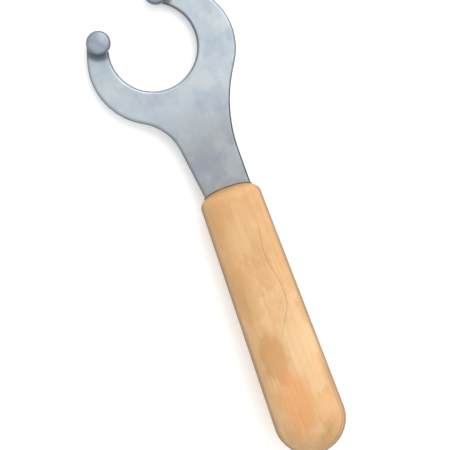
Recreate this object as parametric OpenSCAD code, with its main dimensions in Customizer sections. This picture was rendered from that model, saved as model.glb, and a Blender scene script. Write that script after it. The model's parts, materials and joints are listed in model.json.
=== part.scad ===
// Pin spanner: a flat steel head with an open round jaw, a round pin standing on each of its two
// tips, and an oval wooden handle. The head's plate runs on into the handle as a hidden tang, which
// is bedded in resin.
//
// Frame: the origin is on the jaw's axis, halfway through the plate. +X runs from the handle towards
// the jaw, along the handle. +Z points to the face that the pins stand on. Millimetres.

/* [Jaw and pins] */
// Radius of the open round jaw
jaw_r = 20; // [19:0.2:20.2]
// Radius of the circle that both pins stand on
pin_circle_r = 24.2; // [24.2:0.2:25.6]
// Angle between the two pins, about the jaw's axis
pin_spread = 90; // [80:2:100]
// Turn of the jaw's mouth away from the handle's direction
mouth_turn = 22; // [19:1:27]
// Radius of each pin above the plate
pin_r = 5.5; // [5.2:0.1:5.7]
// Radius of the plate's rounded tips, under the pins
tip_r = 5; // [4.6:0.1:5]
// Height of each pin above the plate
pin_h = 8; // [5:0.5:12]
// Rounding of each pin's free end
pin_edge_r = 1.6; // [0.4:0.2:2]
// Radius of the spigot that holds each pin in its hole
spigot_r = 2.6; // [2:0.2:2.8]
// Radius of the countersunk rivet end at the back of the plate
rivet_r = 3.4; // [3.1:0.1:3.6]

/* [Head] */
// Thickness of the steel plate
plate_t = 5; // [4:0.5:6]
// Radius of the left cheek, on the +Y side of the jaw
left_cheek_r = 29.6; // [28.5:0.1:30.5]
// Radius of the right cheek, on the -Y side of the jaw
right_cheek_r = 28.3; // [27.5:0.1:29.5]
// Radius of the hollow curve from the left cheek into the neck
left_hollow_r = 23; // [20:1:30]
// Radius of the hollow curve from the right cheek into the neck
right_hollow_r = 67; // [50:1:70]
// Width of the neck where it enters the handle
neck_w = 21.9; // [20:0.1:23]
// Slope of the neck's left edge
neck_slope = 7.5; // [4:0.5:9]
// Length of the hidden tang, from the handle's front end
tang_len = 80; // [70:1:95]
// Width of the hidden tang
tang_w = 14; // [12:0.5:16]

/* [Handle] */
// Distance from the jaw's axis back to the handle's front end
handle_gap = 70.6; // [68:0.2:73]
// Offset of the handle's line to the right of the jaw's axis
handle_offset = 9.9; // [9:0.1:11]
// Length of the handle
handle_len = 126.6; // [120:0.2:140]
// Width of the handle at its front end
front_w = 28.3; // [27:0.1:32]
// Thickness of the handle at its front end
front_t = 21; // [18:0.5:26]
// Width of the handle at its butt, which is a half circle seen from above
butt_w = 32.9; // [30:0.1:36]
// Thickness of the handle at its butt
butt_t = 24; // [20:0.5:28]
// Length over which the front end rounds over
front_round = 6; // [3:0.5:9]
// Squareness of the oval section: 2 is an ellipse, and more is boxier
oval_power = 2.5; // [2:0.1:3.5]

/* [Hidden] */
$fn = 96;

// How far touching curves and lines of the outline run into each other, so that they join
bury = 0.01;

// Pins and plate tips, on either side of the mouth's direction
left_turn = mouth_turn + pin_spread / 2;
right_turn = mouth_turn - pin_spread / 2;
left_pin_at = polar(pin_circle_r, left_turn);
right_pin_at = polar(pin_circle_r, right_turn);
tip_bite = 0.2;
tip_circle_r = jaw_r + tip_r - tip_bite;
left_tip_at = polar(tip_circle_r, left_turn);
right_tip_at = polar(tip_circle_r, right_turn);
relief_r = pin_r - 0.7;
relief_h = 0.5;
rivet_depth = 1.2;

// Cheeks: the outer circles of the ring, behind and beside the jaw
left_cheek_at = [-5, 1.7];
right_cheek_at = [-3.6, -8.5];

// Neck edges: where each enters the handle, its direction, and its end at the neck's shoulder
front_x = -handle_gap;
shoulder_depth = 9;
shoulder_x = front_x - shoulder_depth;
left_edge_at = [front_x, neck_w / 2 - handle_offset];
left_edge_dir = [cos(neck_slope), sin(neck_slope)];
left_shoulder = left_edge_at + left_edge_dir / left_edge_dir[0] * (shoulder_x - front_x);
right_edge_at = [front_x, -neck_w / 2 - handle_offset];
right_edge_dir = [1, 0];
right_shoulder = [shoulder_x, right_edge_at[1]];

// Hollow arcs: each centre, and the foot where the arc meets the neck's edge
left_hollow_at = hollow_centre(left_cheek_at, left_cheek_r, left_edge_at, left_edge_dir,
    left_of(left_edge_dir), left_hollow_r);
left_foot = left_hollow_at - left_of(left_edge_dir) * (left_hollow_r - bury);
right_hollow_at = hollow_centre(right_cheek_at, right_cheek_r, right_edge_at, right_edge_dir,
    right_of(right_edge_dir), right_hollow_r);
right_foot = right_hollow_at - right_of(right_edge_dir) * (right_hollow_r - bury);

// Tang and the resin round it, inside the handle
tang_end_x = front_x - tang_len;
notch_r = 2.5;
notch_x = [for (share = [0.4, 0.75]) shoulder_x + (tang_end_x - shoulder_x) * share];
resin_side = 1;
resin_face = 0.5;
resin_end = 2.5;
overlap = 1;
cut_t = plate_t + 2;

// Handle stations: [x, share of full size] from the butt's pole to the front pole
butt_x = front_x - handle_len;
butt_centre_x = butt_x + butt_w / 2;
front_full_x = front_x - front_round;
cap_step = 7.5;
front_power = 0.77;
butt_caps = [for (a = [90 - cap_step : -cap_step : 0]) [butt_centre_x - butt_w / 2 * sin(a), cos(a)]];
front_caps = [for (a = [0 : cap_step : 90 - cap_step])
    [front_full_x + front_round * sin(a), pow(cos(a), front_power)]];
stations = concat(butt_caps, front_caps);
sides = 48;

function polar(r, a) = [r * cos(a), r * sin(a)];
function unit(v) = v / norm(v);
function left_of(v) = [-v[1], v[0]];
function right_of(v) = [v[1], -v[0]];

// Direction from circle a's centre to the point where a common outer tangent touches it
function tangent_dir(a, ra, b, rb, side) =
    let (along = unit(b - a), lean = (ra - rb) / norm(b - a))
    along * lean + left_of(along) * side * sqrt(1 - lean * lean);

// Centre of an arc of radius r that touches a circle from outside and a line on its outer side,
// and runs into both by bury
function hollow_centre(circle_at, circle_r, edge_at, dir, out, r) =
    let (gap = edge_at + out * (r - bury) - circle_at, b = gap * dir)
    circle_at + gap - dir * (b + sqrt(b * b - gap * gap + pow(circle_r + r - bury, 2)));

// Size along a straight taper from the butt to the front
function tapered(x, butt, front) =
    butt + (front - butt) * (min(x, front_full_x) - butt_centre_x) / (front_full_x - butt_centre_x);

function signed_pow(v, p) = sign(v) * pow(abs(v), p);

// One oval ring of the handle at x, scaled by share
function oval_ring(x, share) =
    let (x_taper = max(x, butt_centre_x),
         half_w = tapered(x_taper, butt_w, front_w) / 2 * share,
         half_t = tapered(x_taper, butt_t, front_t) / 2 * share)
    [for (i = [0 : sides - 1]) let (a = 360 * i / sides)
        [x,
         half_w * signed_pow(cos(a), 2 / oval_power) - handle_offset,
         half_t * signed_pow(sin(a), 2 / oval_power)]];

// Round and straight-edged pieces of the plate, centred on its middle; cuts go right through it
module puck(at, r, t = plate_t) translate(at) cylinder(r = r, h = t, center = true);

module slab(points, t = plate_t) linear_extrude(t, center = true) polygon(points);

// Two pucks and the slab between their outer tangents
module belt(a, ra, b, rb) {
    one = tangent_dir(a, ra, b, rb, 1);
    other = tangent_dir(a, ra, b, rb, -1);
    puck(a, ra);
    puck(b, rb);
    slab([a + one * (ra - bury), b + one * (rb - bury),
        b + other * (rb - bury), a + other * (ra - bury)]);
}

// Web that rounds the corner between a cheek and a neck edge with a hollow arc
module hollow_web(cheek_at, hollow_at, foot, r) {
    difference() {
        slab([cheek_at, hollow_at, foot, [foot[0], -handle_offset]]);
        puck(hollow_at, r, cut_t);
    }
}

// Neck between the two hollow arcs, running on to its shoulders inside the handle
module neck() {
    slab([left_shoulder, left_foot, left_cheek_at, right_cheek_at, right_foot, right_shoulder]);
}

// Sector between the two tips, wider than the ring
module mouth() {
    reach = 3;
    slab([[0, 0], right_pin_at * reach, (left_pin_at + right_pin_at) * reach, left_pin_at * reach],
        cut_t);
}

// Hidden tang, with half-round notches that key it into the resin
module tang() {
    difference() {
        translate([tang_end_x, -handle_offset - tang_w / 2, -plate_t / 2])
            cube([shoulder_x - tang_end_x + overlap, tang_w, plate_t]);
        for (x = notch_x, side = [-1, 1])
            puck([x, side * tang_w / 2 - handle_offset], notch_r, cut_t);
    }
}

// Spigot and countersunk end, which fill the pin's hole in the plate
module spigot(at) {
    translate([at[0], at[1], -plate_t / 2]) {
        cylinder(r = spigot_r, h = plate_t);
        cylinder(r1 = rivet_r, r2 = spigot_r, h = rivet_depth);
    }
}

// Pin with a rounded free end and a narrow relief where it meets the plate
module pin(at) {
    translate([at[0], at[1], plate_t / 2])
        rotate_extrude() {
            square([relief_r, pin_h - pin_edge_r]);
            translate([0, relief_h])
                square([pin_r, pin_h - pin_edge_r - relief_h]);
            square([pin_r - pin_edge_r, pin_h]);
            translate([pin_r - pin_edge_r, pin_h - pin_edge_r])
                intersection() {
                    circle(r = pin_edge_r);
                    square(pin_edge_r);
                }
        }
    spigot(at);
}

// Room for the tang and its resin, deep in the handle
module tang_pocket() {
    translate([tang_end_x - resin_end, -handle_offset - tang_w / 2 - resin_side,
        -plate_t / 2 - resin_face])
        cube([shoulder_x - tang_end_x + resin_end, tang_w + 2 * resin_side,
            plate_t + 2 * resin_face]);
}

module spanner_head() {
    color("lightsteelblue")
        difference() {
            union() {
                difference() {
                    union() {
                        belt(left_tip_at, tip_r, left_cheek_at, left_cheek_r);
                        belt(right_tip_at, tip_r, right_cheek_at, right_cheek_r);
                        hollow_web(left_cheek_at, left_hollow_at, left_foot, left_hollow_r);
                        hollow_web(right_cheek_at, right_hollow_at, right_foot, right_hollow_r);
                        neck();
                        tang();
                    }
                    mouth();
                }
                puck(left_tip_at, tip_r);
                puck(right_tip_at, tip_r);
            }
            puck([0, 0], jaw_r, cut_t);
            spigot(left_pin_at);
            spigot(right_pin_at);
        }
}

module left_pin() {
    color("slategray") pin(left_pin_at);
}

module right_pin() {
    color("slategray") pin(right_pin_at);
}

module handle() {
    rings = [for (s = stations) each oval_ring(s[0], s[1])];
    last = len(stations) - 1;
    butt_pole = len(rings);
    front_pole = butt_pole + 1;
    skin = [for (k = [0 : last - 1], i = [0 : sides - 1]) let (j = (i + 1) % sides)
        [k * sides + i, (k + 1) * sides + i, (k + 1) * sides + j, k * sides + j]];
    butt_fan = [for (i = [0 : sides - 1]) [butt_pole, i, (i + 1) % sides]];
    front_fan = [for (i = [0 : sides - 1])
        [front_pole, last * sides + (i + 1) % sides, last * sides + i]];
    color("burlywood")
        difference() {
            polyhedron(
                points = concat(rings,
                    [[butt_x, -handle_offset, 0], [front_x, -handle_offset, 0]]),
                faces = concat(skin, butt_fan, front_fan));
            neck();
            tang_pocket();
        }
}

module tang_resin() {
    color("saddlebrown")
        difference() {
            tang_pocket();
            tang();
        }
}

spanner_head();
left_pin();
right_pin();
handle();
tang_resin();
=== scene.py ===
"""Pin spanner: a flat steel head with two round pins, and an oval wooden handle.

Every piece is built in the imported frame: +X along the handle towards the jaw, +Z out of the face
that the pins stand on, origin on the jaw's axis. Lengths are in metres.
"""
import json
import math

import bmesh
import bpy
import numpy as np
from mathutils import Matrix, Vector


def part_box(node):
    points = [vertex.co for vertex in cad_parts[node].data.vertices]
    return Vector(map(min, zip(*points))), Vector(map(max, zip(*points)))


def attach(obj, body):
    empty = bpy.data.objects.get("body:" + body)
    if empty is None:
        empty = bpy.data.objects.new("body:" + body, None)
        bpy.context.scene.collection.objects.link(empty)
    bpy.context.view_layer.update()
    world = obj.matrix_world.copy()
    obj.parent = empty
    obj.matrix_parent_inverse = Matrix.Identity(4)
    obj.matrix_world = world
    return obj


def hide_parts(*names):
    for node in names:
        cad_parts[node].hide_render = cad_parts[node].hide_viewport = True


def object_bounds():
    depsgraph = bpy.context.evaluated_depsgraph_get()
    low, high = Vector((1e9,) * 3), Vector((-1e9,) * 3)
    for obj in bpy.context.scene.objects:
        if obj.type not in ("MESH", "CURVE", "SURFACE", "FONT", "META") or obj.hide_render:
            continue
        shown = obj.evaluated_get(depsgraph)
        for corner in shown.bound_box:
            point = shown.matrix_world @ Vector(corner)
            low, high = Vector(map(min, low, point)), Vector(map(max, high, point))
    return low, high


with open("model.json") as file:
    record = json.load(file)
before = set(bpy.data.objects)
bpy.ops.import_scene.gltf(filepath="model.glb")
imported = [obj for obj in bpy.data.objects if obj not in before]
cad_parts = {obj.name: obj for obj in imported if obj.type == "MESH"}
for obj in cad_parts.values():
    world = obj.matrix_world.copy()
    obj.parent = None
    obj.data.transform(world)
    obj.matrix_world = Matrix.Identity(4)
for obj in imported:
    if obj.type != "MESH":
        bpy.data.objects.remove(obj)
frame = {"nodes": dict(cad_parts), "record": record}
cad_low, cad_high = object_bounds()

MM = 0.001
BODY = "root"

# ---------------------------------------------------------------- sizes from the frame
mounts = {m["name"]: m for m in frame["record"]["mounts"]}
head_low, head_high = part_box("spanner_head")
handle_low, handle_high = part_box("handle")
PLATE_HALF = head_high.z
PIN_R = mounts["left_pin_end"]["dims"]["r_mm"] * MM
PIN_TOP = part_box("left_pin")[1].z
HANDLE_Y = (handle_low.y + handle_high.y) / 2
FRONT_X = handle_high.x
BUTT_X = handle_low.x

# ---------------------------------------------------------------- sizes of the finer shapes
EDGE_ROUND = 1.35 * MM
EDGE_STEPS = 7
RIM_SPACING = 0.7 * MM
RIM_SMOOTH = 1.0 * MM

SPIGOT_R = 2.6 * MM
RIVET_R = 3.4 * MM
RIVET_DEPTH = 1.2 * MM
RIVET_CROWN = 0.35 * MM
PIN_EDGE = 1.8 * MM
PIN_CROWN = 0.25 * MM
RELIEF_DEPTH = 0.7 * MM
RELIEF_HEIGHT = 0.5 * MM
SEAM = 0.04 * MM

FRONT_ROUND = 6 * MM
FRONT_POWER = 0.77
OVAL_POWER = 2.5
HANDLE_SIDES = 144
CAP_STEPS = 40
BODY_STEPS = 60
SLOT_GAP = 0.12 * MM
BEAD_R = 0.6 * MM
BEAD_STEPS = 240
BEAD_SIDES = 12
AXIS_R = 0.05 * MM

# ---------------------------------------------------------------- the main view
VIEW_ROLL = math.radians(19.8)
VIEW_DISTANCE = 1.2
VIEW_WIDTH = 0.2025
VIEW_SHIFT = Vector((-1.6, -0.75, 0)) * MM
VIEW_RIGHT = Vector((-math.sin(VIEW_ROLL), -math.cos(VIEW_ROLL), 0))
VIEW_UP = Vector((math.cos(VIEW_ROLL), -math.sin(VIEW_ROLL), 0))
box_mid = (cad_low + cad_high) / 2
VIEW_AIM = Vector((box_mid.x, box_mid.y, 0)) + VIEW_SHIFT
LIGHT_SIDE = (VIEW_RIGHT * 0.35 + VIEW_UP * 0.6 + Vector((0, 0, 0.8))).normalized()
SENSOR_WIDTH = 36
FLOOR_REACH = 3.0
WORLD_STRENGTH = 1.3
KEY_POWER = 4.0
FLOOR_GLOW = 0.15


# ================================================================ mesh helpers
def piece_from(name, points, faces, smooth=True):
    """A new mesh object with its faces turned outwards."""
    mesh = bpy.data.meshes.new(name)
    mesh.from_pydata([tuple(p) for p in points], [], faces)
    mesh.validate()
    obj = bpy.data.objects.new(name, mesh)
    bpy.context.scene.collection.objects.link(obj)
    recalculate_normals(mesh)
    if smooth:
        mesh.shade_smooth()
    return obj


def recalculate_normals(mesh):
    """Turns every face of the mesh outwards."""
    bm = bmesh.new()
    bm.from_mesh(mesh)
    bmesh.ops.recalc_face_normals(bm, faces=bm.faces)
    bm.to_mesh(mesh)
    bm.free()


def stitched(rings, closed_ends=True):
    """Points and faces of a tube through rings that all have the same number of points."""
    count = len(rings[0])
    points = [p for ring in rings for p in ring]
    faces = []
    for k in range(len(rings) - 1):
        for i in range(count):
            j = (i + 1) % count
            a, b = k * count, (k + 1) * count
            faces.append((a + i, a + j, b + j, b + i))
    if closed_ends:
        faces.append(tuple(reversed(range(count))))
        last = (len(rings) - 1) * count
        faces.append(tuple(range(last, last + count)))
    return points, faces


def cut(obj, cutter):
    """Takes the cutter's volume out of the object, for good."""
    mod = obj.modifiers.new("cut", "BOOLEAN")
    mod.operation = "DIFFERENCE"
    mod.solver = "EXACT"
    mod.object = cutter
    graph = bpy.context.evaluated_depsgraph_get()
    result = bpy.data.meshes.new_from_object(obj.evaluated_get(graph))
    obj.modifiers.clear()
    obj.data = result
    bpy.data.objects.remove(cutter)


def sharpen(obj, degrees):
    """Smooth shading, with creases where faces meet at more than this angle."""
    obj.data.shade_smooth()
    obj.data.set_sharp_from_angle(angle=math.radians(degrees))


# ================================================================ steel head
def top_outline(node):
    """The outer edge of a CAD plate's top face, as a closed list of points in order."""
    bm = bmesh.new()
    bm.from_mesh(node.data)
    bmesh.ops.remove_doubles(bm, verts=bm.verts, dist=0.002 * MM)
    top = {f for f in bm.faces
           if f.normal.z > 0.99 and f.calc_center_median().z > PLATE_HALF - 0.1 * MM}
    rim = [e for e in bm.edges if sum(f in top for f in e.link_faces) == 1]
    after = {}
    for e in rim:
        a, b = e.verts
        after.setdefault(a, []).append(b)
        after.setdefault(b, []).append(a)
    loops = []
    left = set(after)
    while left:
        start = here = min(left, key=lambda v: (v.co.x, v.co.y))
        loop, before = [], None
        while True:
            loop.append(here.co.to_2d())
            left.discard(here)
            nxt = [v for v in after[here] if v is not before]
            before, here = here, nxt[0]
            if here is start:
                break
        loops.append(loop)
    bm.free()
    return np.array(max(loops, key=len))


def even_loop(points, spacing, smooth):
    """The closed loop again with even spacing, and its corners smoothed over a short length."""
    closed = np.vstack([points, points[:1]])
    along = np.concatenate([[0], np.cumsum(np.linalg.norm(np.diff(closed, axis=0), axis=1))])
    count = int(round(along[-1] / spacing))
    at = np.linspace(0, along[-1], count, endpoint=False)
    loop = np.column_stack([np.interp(at, along, closed[:, k]) for k in (0, 1)])
    reach = int(3 * smooth / spacing)
    weights = np.exp(-0.5 * (np.arange(-reach, reach + 1) * spacing / smooth) ** 2)
    weights /= weights.sum()
    return sum(w * np.roll(loop, s, axis=0) for w, s in zip(weights, range(-reach, reach + 1)))


def inward_normals(loop):
    """The unit direction into the plate at each point of its outline."""
    ahead = np.roll(loop, -1, axis=0) - np.roll(loop, 1, axis=0)
    ahead /= np.linalg.norm(ahead, axis=1)[:, None]
    x, y = loop.T
    area = np.sum(x * np.roll(y, -1) - np.roll(x, -1) * y)
    return np.column_stack([-ahead[:, 1], ahead[:, 0]]) * np.sign(area)


def make_head():
    """The plate with its edges rounded all the way round, and a hole for each pin."""
    loop = even_loop(top_outline(frame["nodes"]["spanner_head"]), RIM_SPACING, RIM_SMOOTH)
    inward = inward_normals(loop)
    flat = EDGE_ROUND * 1.25
    profile = [(flat, PLATE_HALF)]
    for k in range(EDGE_STEPS + 1):
        a = math.pi / 2 * (1 - k / EDGE_STEPS)
        profile.append((EDGE_ROUND * (1 - math.cos(a)),
                        PLATE_HALF - EDGE_ROUND * (1 - math.sin(a))))
    profile += [(inset, -z) for inset, z in reversed(profile)]
    rings = [[(p[0], p[1], z) for p in loop + inward * inset] for inset, z in profile]
    head = piece_from("head_plate", *stitched(rings))
    for name in ("left_pin_end", "right_pin_end"):
        cut(head, hole_cutter(name))
    sharpen(head, 40)
    return head


def lathe(name, profile, at, sides=96):
    """A closed turned shape: profile is (radius, z) from one end to the other."""
    rings = []
    for r, z in profile:
        rings.append([(at[0] + r * math.cos(2 * math.pi * i / sides),
                       at[1] + r * math.sin(2 * math.pi * i / sides), z) for i in range(sides)])
    return piece_from(name, *stitched(rings))


def hole_cutter(mount_name):
    """The shape of a pin's hole: straight, then countersunk at the back."""
    at = Vector(mounts[mount_name]["pos_m"])
    beyond = 1 * MM
    profile = [
        (SPIGOT_R + SEAM, PLATE_HALF + beyond),
        (SPIGOT_R + SEAM, -PLATE_HALF + RIVET_DEPTH),
        (RIVET_R + SEAM, -PLATE_HALF),
        (RIVET_R + SEAM, -PLATE_HALF - beyond),
    ]
    return lathe("hole_cutter", profile, at)


def rounded(corner, r, start, end, steps=6):
    """Points of an arc of radius r about corner, between two angles in degrees."""
    out = []
    for k in range(steps + 1):
        a = math.radians(start + (end - start) * k / steps)
        out.append((corner[0] + r * math.cos(a), corner[1] + r * math.sin(a)))
    return out


def make_pin(name, mount_name):
    """A turned pin: rounded free end, narrow relief at the plate, spigot and crowned rivet end."""
    at = Vector(mounts[mount_name]["pos_m"])
    lip = 0.15 * MM
    relief_r = PIN_R - RELIEF_DEPTH
    base = PLATE_HALF + RELIEF_HEIGHT
    flat_r = PIN_R - PIN_EDGE
    profile = [(max(flat_r * share, AXIS_R), PIN_TOP - PIN_CROWN * share ** 2)
               for share in (0, 0.25, 0.5, 0.75, 0.9)]
    profile += rounded((flat_r, PIN_TOP - PIN_CROWN - PIN_EDGE), PIN_EDGE, 84, 0, 14)
    profile += [(PIN_R, base + 2 * lip)]
    profile += rounded((PIN_R - lip, base + lip), lip, 0, -90, 4)
    profile += [(relief_r + lip, base), (relief_r, base - lip), (relief_r, PLATE_HALF),
                (SPIGOT_R, PLATE_HALF), (SPIGOT_R, -PLATE_HALF + RIVET_DEPTH),
                (RIVET_R, -PLATE_HALF)]
    crown = 8
    for k in range(1, crown + 1):
        a = math.pi / 2 * k / crown
        profile.append((max(RIVET_R * math.cos(a), AXIS_R),
                        -PLATE_HALF - RIVET_CROWN * math.sin(a)))
    pin = lathe(name, profile, at)
    sharpen(pin, 35)
    return pin


# ================================================================ wooden handle
def ring_half_sizes(x):
    """Half width and half thickness of the CAD handle at the ring nearest to x."""
    points = np.array([v.co for v in frame["nodes"]["handle"].data.vertices])
    outer = points[np.abs(points[:, 2]) > PLATE_HALF + 1 * MM]
    nearest = outer[np.argmin(np.abs(outer[:, 0] - x)), 0]
    ring = points[np.abs(points[:, 0] - nearest) < 0.01 * MM]
    return np.abs(ring[:, 1] - HANDLE_Y).max(), np.abs(ring[:, 2]).max()


BUTT_HALF_W = (handle_high.y - handle_low.y) / 2
BUTT_CENTRE_X = BUTT_X + BUTT_HALF_W
BUTT_HALF_T = (handle_high.z - handle_low.z) / 2
FRONT_FULL_X = FRONT_X - FRONT_ROUND
FRONT_HALF_W, FRONT_HALF_T = ring_half_sizes(FRONT_FULL_X)


def oval_ring(x, half_w, half_t, sides=HANDLE_SIDES):
    """A squarish oval across the handle."""
    out = []
    for i in range(sides):
        a = 2 * math.pi * i / sides
        c, s = math.cos(a), math.sin(a)
        out.append((x,
                    HANDLE_Y + half_w * math.copysign(abs(c) ** (2 / OVAL_POWER), c),
                    half_t * math.copysign(abs(s) ** (2 / OVAL_POWER), s)))
    return out


def handle_rings():
    """The ovals from the butt's pole through the straight body to the front pole."""
    rings = []
    for k in range(CAP_STEPS):
        a = math.pi / 2 * (1 - (k + 0.25) / (CAP_STEPS + 0.25))
        share = math.cos(a)
        rings.append(oval_ring(BUTT_CENTRE_X - BUTT_HALF_W * math.sin(a),
                               BUTT_HALF_W * share, BUTT_HALF_T * share))
    for k in range(BODY_STEPS + 1):
        t = k / BODY_STEPS
        rings.append(oval_ring(BUTT_CENTRE_X + (FRONT_FULL_X - BUTT_CENTRE_X) * t,
                               BUTT_HALF_W + (FRONT_HALF_W - BUTT_HALF_W) * t,
                               BUTT_HALF_T + (FRONT_HALF_T - BUTT_HALF_T) * t))
    for k in range(1, CAP_STEPS):
        a = math.pi / 2 * k / (CAP_STEPS - 0.75)
        share = math.cos(a) ** FRONT_POWER
        rings.append(oval_ring(FRONT_FULL_X + FRONT_ROUND * math.sin(a),
                               FRONT_HALF_W * share, FRONT_HALF_T * share))
    return rings


def make_handle():
    """The wood, with its mortise: a tight slot for the neck and a pocket for tang and resin."""
    handle = piece_from("wood_handle", *stitched(handle_rings()))
    pocket_low, pocket_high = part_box("tang_resin")
    cut(handle, neck_slot(pocket_high.x))
    cut(handle, prism("pocket", [(x, pocket_low.y, pocket_high.y) for x in
                                 (pocket_low.x, pocket_high.x)], pocket_high.z))
    sharpen(handle, 30)
    return handle


def prism(name, ends, half_t):
    """A flat block between two ends; each end is its x and the y of its two sides."""
    points = [(x, y, z) for x, low, high in ends for y in (low, high) for z in (-half_t, half_t)]
    faces = [(0, 1, 3, 2), (4, 6, 7, 5), (0, 4, 5, 1), (2, 3, 7, 6), (0, 2, 6, 4), (1, 5, 7, 3)]
    return piece_from(name, points, faces, smooth=False)


def neck_edges_at(x):
    """The y of the CAD plate's two edges at x."""
    loop = top_outline(frame["nodes"]["spanner_head"])
    ys = []
    for a, b in zip(loop, np.roll(loop, -1, axis=0)):
        low, high = sorted((a[0], b[0]))
        if low <= x < high:
            ys.append(a[1] + (b[1] - a[1]) * (x - a[0]) / (b[0] - a[0]))
    return min(ys), max(ys)


def neck_slot(shoulder_x):
    """The neck's slot, a hair wider than the steel, from the shoulders out past the front."""
    ends = []
    for x, move in ((shoulder_x + SLOT_GAP, -2 * SLOT_GAP), (FRONT_X, 2 * MM)):
        low, high = neck_edges_at(x)
        ends.append((x + move, low - SLOT_GAP, high + SLOT_GAP))
    return prism("slot", ends, PLATE_HALF + SLOT_GAP)


# ================================================================ resin bead
def front_surface_x(y, z):
    """Where the handle's domed front end is at this y and z."""
    reach = (abs((y - HANDLE_Y) / FRONT_HALF_W) ** OVAL_POWER
             + abs(z / FRONT_HALF_T) ** OVAL_POWER) ** (1 / OVAL_POWER)
    return FRONT_FULL_X + FRONT_ROUND * math.sqrt(max(0, 1 - reach ** (2 / FRONT_POWER)))


def make_bead():
    """The thin line of resin squeezed out where the neck enters the wood."""
    low, high = neck_edges_at(FRONT_X - 1 * MM)
    mid, half_w = (low + high) / 2, (high - low) / 2
    path = [rounded_box_point(2 * math.pi * i / BEAD_STEPS, half_w, PLATE_HALF, EDGE_ROUND)
            for i in range(BEAD_STEPS)]
    rings = []
    for i, (y, z) in enumerate(path):
        before, ahead = path[i - 1], path[(i + 1) % BEAD_STEPS]
        out = Vector((ahead[1] - before[1], before[0] - ahead[0])).normalized()
        centre = Vector((front_surface_x(mid + y, z), mid + y, z))
        ring = []
        for k in range(BEAD_SIDES):
            b = 2 * math.pi * k / BEAD_SIDES
            ring.append(centre + Vector((math.cos(b), math.sin(b) * out.x, math.sin(b) * out.y))
                        * BEAD_R)
        rings.append(ring)
    rings.append(rings[0])
    points, faces = stitched(rings, closed_ends=False)
    count = BEAD_SIDES * BEAD_STEPS
    faces = [tuple(v % count for v in f) for f in faces]
    return piece_from("mouth_resin", points[:count], faces)


def rounded_box_point(angle, half_w, half_t, corner):
    """The point at this share of the way round a box with round corners."""
    straight_w, straight_t = half_w - corner, half_t - corner
    arc = math.pi / 2 * corner
    walk = angle / (2 * math.pi) * 4 * (straight_w + straight_t + arc)
    legs = [("line", (half_w, 0), (0, 1), straight_t),
            ("arc", (straight_w, straight_t), 0, arc),
            ("line", (straight_w, half_t), (-1, 0), 2 * straight_w),
            ("arc", (-straight_w, straight_t), 90, arc),
            ("line", (-half_w, straight_t), (0, -1), 2 * straight_t),
            ("arc", (-straight_w, -straight_t), 180, arc),
            ("line", (-straight_w, -half_t), (1, 0), 2 * straight_w),
            ("arc", (straight_w, -straight_t), 270, arc),
            ("line", (half_w, -straight_t), (0, 1), straight_t)]
    for kind, start, heading, length in legs:
        if walk <= length:
            break
        walk -= length
    if kind == "line":
        return (start[0] + heading[0] * walk, start[1] + heading[1] * walk)
    a = math.radians(heading) + walk / corner
    return (start[0] + corner * math.cos(a), start[1] + corner * math.sin(a))


# ================================================================ materials
# The studio is brighter than full white on the floor, so the pieces' own colours are darker
TONE = 0.8


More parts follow.
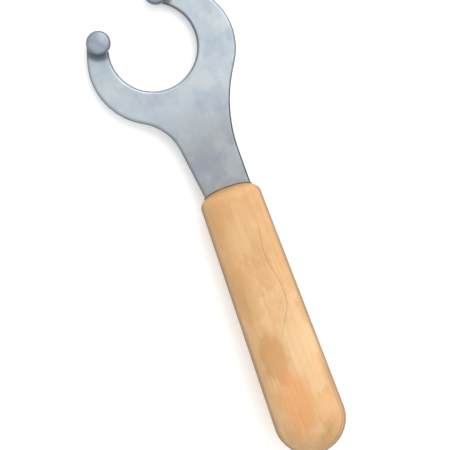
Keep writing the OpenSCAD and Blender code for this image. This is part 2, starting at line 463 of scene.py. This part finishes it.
class Paint:
    """A small node graph that ends in one Principled shader."""

    def __init__(self, name, **fixed):
        self.mat = bpy.data.materials.new(name)
        self.mat.use_nodes = True
        self.tree = self.mat.node_tree
        self.shader = self.tree.nodes["Principled BSDF"]
        for key, value in fixed.items():
            self.shader.inputs[key.replace("_", " ")].default_value = value
        self.coords = self.node("ShaderNodeTexCoord").outputs["Object"]

    def node(self, kind, **settings):
        made = self.tree.nodes.new(kind)
        for key, value in settings.items():
            setattr(made, key, value)
        return made

    def link(self, source, target):
        self.tree.links.new(source, target)

    def feed(self, target, value):
        """Links a socket, or sets a plain value."""
        if isinstance(value, bpy.types.NodeSocket):
            self.link(value, target)
        else:
            target.default_value = value

    def stretched(self, scale, offset=(0, 0, 0)):
        """Coordinates scaled along each axis, so that a noise draws out along the small ones."""
        made = self.node("ShaderNodeMapping")
        made.inputs["Scale"].default_value = scale
        made.inputs["Location"].default_value = offset
        self.link(self.coords, made.inputs["Vector"])
        return made.outputs["Vector"]

    def noise(self, scale, detail=3.0, rough=0.5, vector=None, distortion=0.0):
        made = self.node("ShaderNodeTexNoise")
        self.link(vector or self.coords, made.inputs["Vector"])
        made.inputs["Scale"].default_value = scale
        made.inputs["Detail"].default_value = detail
        made.inputs["Roughness"].default_value = rough
        made.inputs["Distortion"].default_value = distortion
        return made.outputs["Fac"]

    def ramp(self, value, low, high, to_low=0.0, to_high=1.0, smooth=True):
        """Goes from to_low to to_high as the value goes from low to high."""
        made = self.node("ShaderNodeMapRange")
        made.interpolation_type = "SMOOTHSTEP" if smooth else "LINEAR"
        self.link(value, made.inputs["Value"])
        made.inputs["From Min"].default_value = low
        made.inputs["From Max"].default_value = high
        made.inputs["To Min"].default_value = to_low
        made.inputs["To Max"].default_value = to_high
        return made.outputs["Result"]

    def math(self, operation, a, b=0.0):
        made = self.node("ShaderNodeMath", operation=operation)
        self.feed(made.inputs[0], a)
        self.feed(made.inputs[1], b)
        return made.outputs["Value"]

    def mix(self, amount, a, b):
        """Colour a, turning to b by an amount from 0 to 1."""
        made = self.node("ShaderNodeMix", data_type="RGBA")
        self.feed(made.inputs[0], amount)
        self.feed(made.inputs[6], a)
        self.feed(made.inputs[7], b)
        return made.outputs[2]

    def axis(self, name):
        """Where a spot is along one axis, in metres."""
        made = self.node("ShaderNodeSeparateXYZ")
        self.link(self.coords, made.inputs["Vector"])
        return made.outputs[name]

    def normal_axis(self, name):
        """How much a spot faces along one axis, from -1 to 1."""
        made = self.node("ShaderNodeSeparateXYZ")
        self.link(self.node("ShaderNodeNewGeometry").outputs["Normal"], made.inputs["Vector"])
        return made.outputs[name]

    def distance_from(self, point):
        """How far a spot is from the upright line through this point."""
        flat = self.node("ShaderNodeVectorMath", operation="MULTIPLY")
        flat.inputs[1].default_value = (1, 1, 0)
        self.link(self.coords, flat.inputs[0])
        made = self.node("ShaderNodeVectorMath", operation="DISTANCE")
        made.inputs[1].default_value = (point[0], point[1], 0)
        self.link(flat.outputs["Vector"], made.inputs[0])
        return made.outputs["Value"]

    def bump(self, height, distance, strength=1.0, under=None):
        made = self.node("ShaderNodeBump")
        made.inputs["Strength"].default_value = strength
        made.inputs["Distance"].default_value = distance
        self.link(height, made.inputs["Height"])
        if under:
            self.link(under, made.inputs["Normal"])
        return made.outputs["Normal"]

    def finish(self, colour, roughness=None, normal=None):
        self.feed(self.shader.inputs["Base Color"], colour)
        if roughness is not None:
            self.feed(self.shader.inputs["Roughness"], roughness)
        if normal is not None:
            self.link(normal, self.shader.inputs["Normal"])
        return self.mat


def rgb(code, share=TONE):
    """A linear colour from a six-digit sRGB code, darkened to suit the bright studio."""
    parts = [int(code[i:i + 2], 16) / 255 for i in (0, 2, 4)]
    return tuple(share * (c / 12.92 if c <= 0.04045 else ((c + 0.055) / 1.055) ** 2.4)
                 for c in parts) + (1.0,)


def head_steel():
    """Satin blue-grey steel in clouds of tone; painted shade on the neck, by the pins, on the rims
    and edges.
    """
    p = Paint("head_steel")
    clouds = p.ramp(p.noise(95, 3.0, 0.55), 0.38, 0.62)
    patches = p.ramp(p.noise(150, 2.0, 0.45, vector=p.stretched((1, 1, 1), (0.2, 0.1, 0.8)),
                             distortion=0.6), 0.45, 0.55)
    violet = p.ramp(p.noise(80, 3.0, 0.5, vector=p.stretched((1, 1, 1), (0.3, 0.7, 0.1))),
                    0.5, 0.66)
    pale = p.ramp(p.noise(85, 2.0, 0.5, vector=p.stretched((1, 1, 1), (0.9, 0.2, 0.6))),
                  0.52, 0.66)
    colour = p.mix(clouds, rgb("A8B4BE"), rgb("AFB9BF"))
    colour = p.mix(p.math("MULTIPLY", patches, 0.35), colour, rgb("B9C0C6"))
    colour = p.mix(p.math("MULTIPLY", violet, 0.5), colour, rgb("9DA6B7"))
    colour = p.mix(p.math("MULTIPLY", pale, 0.55), colour, rgb("BEC5C7"))
    # Painted shade: the neck darkens towards the handle, in a darker copy of the mottled steel.
    shade_by_handle = p.ramp(p.axis("X"), -22 * MM, -58 * MM)
    shaded_neck_tone = p.mix(clouds, rgb("8C919C"), rgb("989C9F"))
    shaded_neck_tone = p.mix(p.math("MULTIPLY", patches, 0.6), shaded_neck_tone, rgb("8E8F92"))
    shaded_neck_tone = p.mix(p.math("MULTIPLY", pale, 0.5), shaded_neck_tone, rgb("A9AFB0"))
    colour = p.mix(p.math("MULTIPLY", shade_by_handle, 0.88), colour, shaded_neck_tone)
    # Painted shade: a darker ring on the plate round the foot of each pin.
    for name in ("left_pin_end", "right_pin_end"):
        pin_foot_shade = p.ramp(p.distance_from(mounts[name]["pos_m"]), 8.9 * MM, 6.9 * MM)
        colour = p.mix(p.math("MULTIPLY", pin_foot_shade, 0.85), colour, rgb("666E79"))
    # Painted shade: the rounded rim is darker where it turns down from the faces.
    tilt = p.math("ABSOLUTE", p.normal_axis("Z"))
    colour = p.mix(p.ramp(tilt, 0.86, 0.4), colour, rgb("3D444C"))
    # Painted shade: the jaw's inner wall, where it faces the view's left, is darker.
    jaw_wall_shade = p.math("MULTIPLY", p.ramp(p.normal_axis("Y"), 0.15, 0.5),
                      p.ramp(p.distance_from(mounts["jaw"]["pos_m"]), 22.2 * MM, 21.6 * MM,
                             0.0, 0.6))
    colour = p.mix(jaw_wall_shade, colour, rgb("5A6269"))
    # Painted shade: edges facing the view's right are much darker, more so along the neck.
    right_edge_shade = p.math("MULTIPLY", p.ramp(p.normal_axis("Y"), -0.35, -0.7),
                        p.ramp(p.axis("X"), -8 * MM, -40 * MM, 0.25, 0.85))
    colour = p.mix(right_edge_shade, colour, rgb("23282C"))
    # Painted shade on the straight side walls, lighter than on the rounded rim.
    colour = p.mix(p.ramp(tilt, 0.22, 0.05), colour, rgb("7B838C"))
    brushed = p.noise(1.0, 3.0, 0.6, vector=p.stretched((90, 2600, 2600)))
    colour = p.mix(p.ramp(brushed, 0.5, 0.75, 0.0, 0.12), colour, rgb("7D858F"))
    grain = p.noise(2400, 2.0, 0.6)
    roughness = p.ramp(brushed, 0.2, 0.8, 0.38, 0.5, smooth=False)
    normal = p.bump(grain, 0.015 * MM, 0.5)
    normal = p.bump(brushed, 0.01 * MM, 0.5, under=normal)
    p.link(p.ramp(tilt, 0.4, 0.86, 0.25, 0.7), p.shader.inputs["Metallic"])
    return p.finish(colour, roughness, normal)


def pin_steel():
    """Steel a little darker than the head's, with fine turning marks; painted shade on its lower
    side and end rim.
    """
    p = Paint("pin_steel", Metallic=0.7)
    clouds = p.ramp(p.noise(200, 2.0, 0.5), 0.38, 0.62)
    colour = p.mix(clouds, rgb("8C96A3"), rgb("9BA3AF"))
    # Painted shade: the pin's side darkens towards the plate.
    lower_side_shade = p.ramp(p.axis("Z"), PIN_TOP - PIN_EDGE, PLATE_HALF)
    colour = p.mix(lower_side_shade, colour, rgb("4A505B"))
    tilt = p.math("ABSOLUTE", p.normal_axis("Z"))
    # Painted shade: a dark line round the pin's rounded end, where it turns down.
    edge = p.math("MULTIPLY", p.ramp(tilt, 0.88, 0.5), p.ramp(tilt, 0.0, 0.12))
    colour = p.mix(p.math("MULTIPLY", edge, 0.6), colour, rgb("3F444F"))
    turned = p.noise(1.0, 2.0, 0.5, vector=p.stretched((300, 300, 5000)))
    roughness = p.ramp(turned, 0.2, 0.8, 0.34, 0.48, smooth=False)
    normal = p.bump(turned, 0.012 * MM, 0.6)
    return p.finish(colour, roughness, normal)


def grain_line(p):
    """One fine line that wanders along the top of the handle, as strength from 0 to 1."""
    radians_per_metre, first_phase, swing = 170.0, 0.4, 1.2 * MM
    x = p.axis("X")
    phase = p.math("ADD", p.math("MULTIPLY", x, radians_per_metre), first_phase)
    wave = p.math("MULTIPLY", p.math("SINE", phase), swing)
    drift = p.ramp(x, -128 * MM, -146 * MM, HANDLE_Y - 7.1 * MM, HANDLE_Y - 1.1 * MM)
    off = p.math("ABSOLUTE", p.math("SUBTRACT", p.axis("Y"), p.math("ADD", wave, drift)))
    line = p.ramp(off, 0.42 * MM, 0.08 * MM)
    length = p.math("MULTIPLY", p.ramp(x, -86 * MM, -94 * MM), p.ramp(x, -146 * MM, -136 * MM))
    on_top = p.ramp(p.normal_axis("Z"), 0.2, 0.4)
    return p.math("MULTIPLY", p.math("MULTIPLY", line, length), on_top)


def blot(p, x, y, length, width, softness=0.45):
    """A soft ragged patch on the handle, as strength from 0 to 1."""
    ragged = p.noise(150, 3.0, 0.6)
    across = p.math("DIVIDE", p.math("SUBTRACT", p.axis("Y"), y * MM), width / 2 * MM)
    along = p.math("DIVIDE", p.math("SUBTRACT", p.axis("X"), x * MM), length / 2 * MM)
    reach = p.math("SQRT", p.math("ADD", p.math("MULTIPLY", across, across),
                                  p.math("MULTIPLY", along, along)))
    reach = p.math("ADD", reach, p.math("MULTIPLY", p.math("SUBTRACT", ragged, 0.5), 1.6))
    return p.ramp(reach, 1 + softness / 2, 1 - softness / 2)


def handle_wood():
    """Light fine-grained wood: patches of tone, long faint grain, short pores, a few lines,
    painted shade on the rims.
    """
    p = Paint("handle_wood", Coat_Weight=0.1, Coat_Roughness=0.4)
    patches = p.ramp(p.noise(1.0, 3.0, 0.55, vector=p.stretched((55, 95, 95))), 0.38, 0.62)
    tan = p.ramp(p.noise(1.0, 3.0, 0.5, vector=p.stretched((70, 110, 110), (0.4, 2.0, 1.0))),
                 0.52, 0.62)
    cream = p.ramp(p.noise(1.0, 2.0, 0.5, vector=p.stretched((44, 80, 80), (2.1, 0.3, 1.5))),
                   0.5, 0.64)
    colour = p.mix(patches, rgb("D6A670"), rgb("DEB07A"))
    colour = p.mix(p.math("MULTIPLY", tan, 0.4), colour, rgb("CB985F"))
    colour = p.mix(p.math("MULTIPLY", cream, 0.55), colour, rgb("E8C08E"))
    near_front = p.ramp(p.axis("X"), -118 * MM, -80 * MM)
    colour = p.mix(p.math("MULTIPLY", near_front, 0.4), colour, rgb("CB985F"))
    colour = p.mix(p.math("MULTIPLY", blot(p, -148, -17, 50, 13), 0.6), colour, rgb("E8C292"))
    colour = p.mix(p.math("MULTIPLY", blot(p, -118, -2, 26, 11), 0.4), colour, rgb("C9955A"))
    colour = p.mix(p.math("MULTIPLY", blot(p, -149, -4, 22, 11), 0.5), colour, rgb("C98F50"))
    colour = p.mix(p.math("MULTIPLY", blot(p, -172, -7, 26, 15, 0.9), 0.68), colour,
                   rgb("E39C5E"))
    grain = p.noise(1.0, 4.0, 0.6, vector=p.stretched((28, 900, 900)), distortion=0.3)
    colour = p.mix(p.ramp(grain, 0.45, 0.75, 0.0, 0.24), colour, rgb("AE7B46"))
    fleck = p.noise(1.0, 1.0, 0.5, vector=p.stretched((300, 2600, 2600)))
    colour = p.mix(p.ramp(fleck, 0.66, 0.74, 0.0, 0.18), colour, rgb("9C6C3C"))
    wander = p.noise(1.0, 2.0, 0.45, vector=p.stretched((24, 12, 12), (0.2, 0.0, 0.0)))
    across = p.math("ADD", p.axis("Y"), p.math("MULTIPLY", wander, 16 * MM))
    band = p.math("PINGPONG", p.math("DIVIDE", across, 8.5 * MM), 0.5)
    fade = p.ramp(p.noise(1.0, 1.0, 0.5, vector=p.stretched((30, 90, 90), (1.0, 0.5, 0.0))),
                  0.45, 0.62)
    line = p.math("MULTIPLY", p.ramp(band, 0.03, 0.0), fade)
    colour = p.mix(p.math("MULTIPLY", line, 0.16), colour, rgb("9C6F40"))
    colour = p.mix(p.math("MULTIPLY", grain_line(p), 0.38), colour, rgb("946A3C"))
    # Painted shade: the rounded rims are darker, less so on the straight sides and the front end.
    tilt = p.math("ABSOLUTE", p.normal_axis("Z"))
    rim = p.math("MULTIPLY", p.ramp(tilt, 0.66, 0.3), p.ramp(tilt, 0.0, 0.25, 0.45, 1.0))
    on_sides = p.ramp(p.normal_axis("X"), 0.75, 0.3, 0.2, 0.8)
    colour = p.mix(p.math("MULTIPLY", rim, on_sides), colour, rgb("7E5B29"))
    # Painted shade: a thin darker line along the rounded edge round the right side of the butt.
    off_line = p.math("ABSOLUTE", p.math("SUBTRACT", tilt, 0.62))
    butt_line_shade = p.math("MULTIPLY", p.ramp(off_line, 0.06, 0.01),
                  p.ramp(p.axis("X"), -150 * MM, -172 * MM))
    butt_line_shade = p.math("MULTIPLY", butt_line_shade, p.ramp(p.axis("Y"), HANDLE_Y, HANDLE_Y - 6 * MM))
    colour = p.mix(p.math("MULTIPLY", butt_line_shade, 0.4), colour, rgb("8A5F30"))
    roughness = p.ramp(grain, 0.3, 0.7, 0.45, 0.6, smooth=False)
    normal = p.bump(grain, 0.05 * MM, 0.3)
    normal = p.bump(fleck, 0.03 * MM, 0.3, under=normal)
    return p.finish(colour, roughness, normal)


def resin():
    """Set brown resin, slightly uneven."""
    p = Paint("resin", Coat_Weight=0.2)
    uneven = p.noise(900, 2.0, 0.5)
    colour = p.mix(p.ramp(uneven, 0.3, 0.7), rgb("5A3E18"), rgb("785423"))
    return p.finish(colour, p.ramp(uneven, 0.2, 0.8, 0.35, 0.5), p.bump(uneven, 0.05 * MM, 0.4))


def floor_card():
    """Pale matt card."""
    p = Paint("floor_card")
    fibre = p.noise(700, 3.0, 0.6)
    colour = p.mix(p.ramp(fibre, 0.3, 0.7), rgb("F8F8F7", 1), rgb("FCFCFB", 1))
    p.shader.inputs["Emission Color"].default_value = (1, 1, 1, 1)
    p.shader.inputs["Emission Strength"].default_value = FLOOR_GLOW
    return p.finish(colour, 0.9, p.bump(fibre, 0.02 * MM, 0.1))


# ================================================================ pieces
def dress(obj, material, replaces=None):
    """Gives a piece its material and body, and hides the CAD node that it replaces."""
    obj.data.materials.clear()
    obj.data.materials.append(material)
    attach(obj, BODY)
    if replaces:
        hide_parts(replaces)


pin_material = pin_steel()
resin_material = resin()
dress(make_head(), head_steel(), "spanner_head")
dress(make_pin("left_turned_pin", "left_pin_end"), pin_material, "left_pin")
dress(make_pin("right_turned_pin", "right_pin_end"), pin_material, "right_pin")
dress(make_handle(), handle_wood(), "handle")
dress(make_bead(), resin_material)
tang_resin = frame["nodes"]["tang_resin"]
for place in tang_resin.material_slots:
    place.material = resin_material


# ================================================================ floor, light and camera
def floor_matrix():
    """Where the floor is: under both tips of the head and the front of the handle's underside."""
    left = Vector(mounts["left_pin_end"]["pos_m"]).to_2d()
    right = Vector(mounts["right_pin_end"]["pos_m"]).to_2d()
    along = (left - right).normalized()
    ahead = Vector((along.y, -along.x))
    ahead *= math.copysign(1, ahead.x)
    start = right + ahead * PIN_R
    steepest = max(
        ((head_low.z - v.co.z) / (start - v.co.to_2d()).dot(ahead), v.index)
        for v in frame["nodes"]["handle"].data.vertices)[0]
    x_axis = Vector((ahead.x, ahead.y, steepest)).normalized()
    y_axis = Vector((along.x, along.y, 0))
    z_axis = x_axis.cross(y_axis)
    if z_axis.z < 0:
        y_axis, z_axis = -y_axis, -z_axis
    turn = Matrix((x_axis, y_axis, z_axis)).transposed().to_4x4()
    return Matrix.Translation((start.x, start.y, head_low.z)) @ turn


def make_floor():
    """A wide flat card in the plane that the tool rests on."""
    far = FLOOR_REACH
    points = [(-far, -far, 0), (far, -far, 0), (far, far, 0), (-far, far, 0)]
    floor = piece_from("floor", points, [(0, 1, 2, 3)], smooth=False)
    floor.matrix_world = floor_matrix()
    floor.data.materials.append(floor_card())


def softbox(name, right, up, height, size, power, colour=(1, 1, 1)):
    """A square soft light, placed by the view's right and up, and turned to the object."""
    data = bpy.data.lights.new(name, "AREA")
    data.shape = "SQUARE"
    data.size = size
    data.energy = power
    data.color = colour
    light = bpy.data.objects.new(name, data)
    bpy.context.scene.collection.objects.link(light)
    light.location = VIEW_AIM + VIEW_RIGHT * right + VIEW_UP * up + Vector((0, 0, height))
    light.rotation_mode = "QUATERNION"
    light.rotation_quaternion = (VIEW_AIM - light.location).to_track_quat("-Z", "Y")


def make_world():
    """A soft studio dome, brighter on the side that the light comes from."""
    world = bpy.data.worlds.new("studio")
    world.use_nodes = True
    tree = world.node_tree
    back = tree.nodes["Background"]
    coords = tree.nodes.new("ShaderNodeTexCoord")
    facing = tree.nodes.new("ShaderNodeVectorMath")
    facing.operation = "DOT_PRODUCT"
    facing.inputs[1].default_value = LIGHT_SIDE
    height = tree.nodes.new("ShaderNodeMapRange")
    shade = tree.nodes.new("ShaderNodeMix")
    shade.data_type = "RGBA"
    height.inputs["From Min"].default_value = -0.6
    height.inputs["From Max"].default_value = 0.9
    shade.inputs[6].default_value = (0.4, 0.41, 0.43, 1)
    shade.inputs[7].default_value = (1.0, 1.0, 1.0, 1)
    tree.links.new(coords.outputs["Generated"], facing.inputs[0])
    tree.links.new(facing.outputs["Value"], height.inputs["Value"])
    tree.links.new(height.outputs["Result"], shade.inputs[0])
    tree.links.new(shade.outputs[2], back.inputs["Color"])
    back.inputs["Strength"].default_value = WORLD_STRENGTH
    bpy.context.scene.world = world


def make_camera():
    """The main view: straight down, rolled so that the handle leans as the tool lies."""
    data = bpy.data.cameras.new("camera")
    data.sensor_width = SENSOR_WIDTH
    data.lens = SENSOR_WIDTH * VIEW_DISTANCE / VIEW_WIDTH
    camera = bpy.data.objects.new("camera", data)
    bpy.context.scene.collection.objects.link(camera)
    turn = Matrix((VIEW_RIGHT, VIEW_UP, Vector((0, 0, 1)))).transposed().to_4x4()
    camera.matrix_world = Matrix.Translation(VIEW_AIM + Vector((0, 0, VIEW_DISTANCE))) @ turn
    bpy.context.scene.camera = camera


make_floor()
make_world()
make_camera()
softbox("key", 0.2, 0.5, 0.65, 0.7, KEY_POWER, (1.0, 0.985, 0.96))
bpy.context.scene.view_settings.view_transform = "Standard"

bpy.context.view_layer.update()
